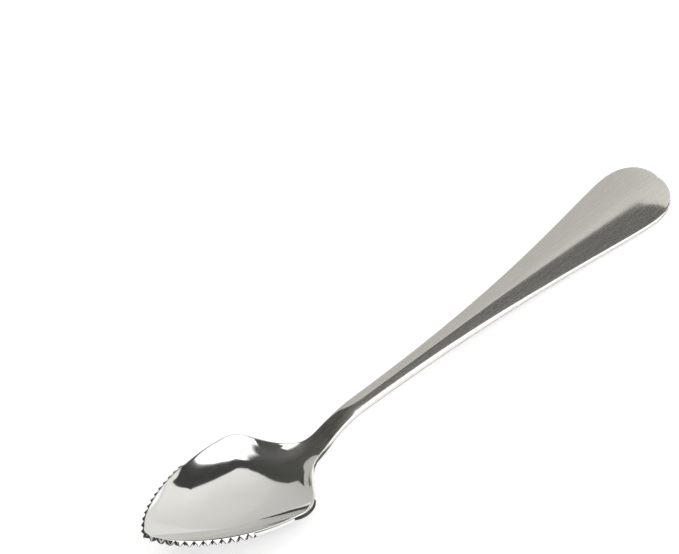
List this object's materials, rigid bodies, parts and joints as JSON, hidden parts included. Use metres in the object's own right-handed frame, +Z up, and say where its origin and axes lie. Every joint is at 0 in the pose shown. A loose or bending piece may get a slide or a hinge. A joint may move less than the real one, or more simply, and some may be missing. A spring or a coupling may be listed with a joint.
{
  "type": "grapefruit spoon",
  "caption": "Small table spoon with a pointed bowl, a saw-toothed front rim and a slim handle that widens to a round, crowned end.",
  "frame": {"origin": "on the table under the middle of the spoon's length and width, with the spoon lying at rest, bowl up", "axes": "+X from the tip of the bowl to the end of the handle, +Y across, +Z up"},
  "size_m": [0.1521, 0.029, 0.0172],
  "materials": {
    "polished_steel": "mirror polished stainless steel",
    "satin_steel": "stainless steel with a fine lengthwise satin"
  },
  "bodies": {
    "root": {"bowl": "polished_steel", "handle": "satin_steel"}
  },
  "joints": []
}
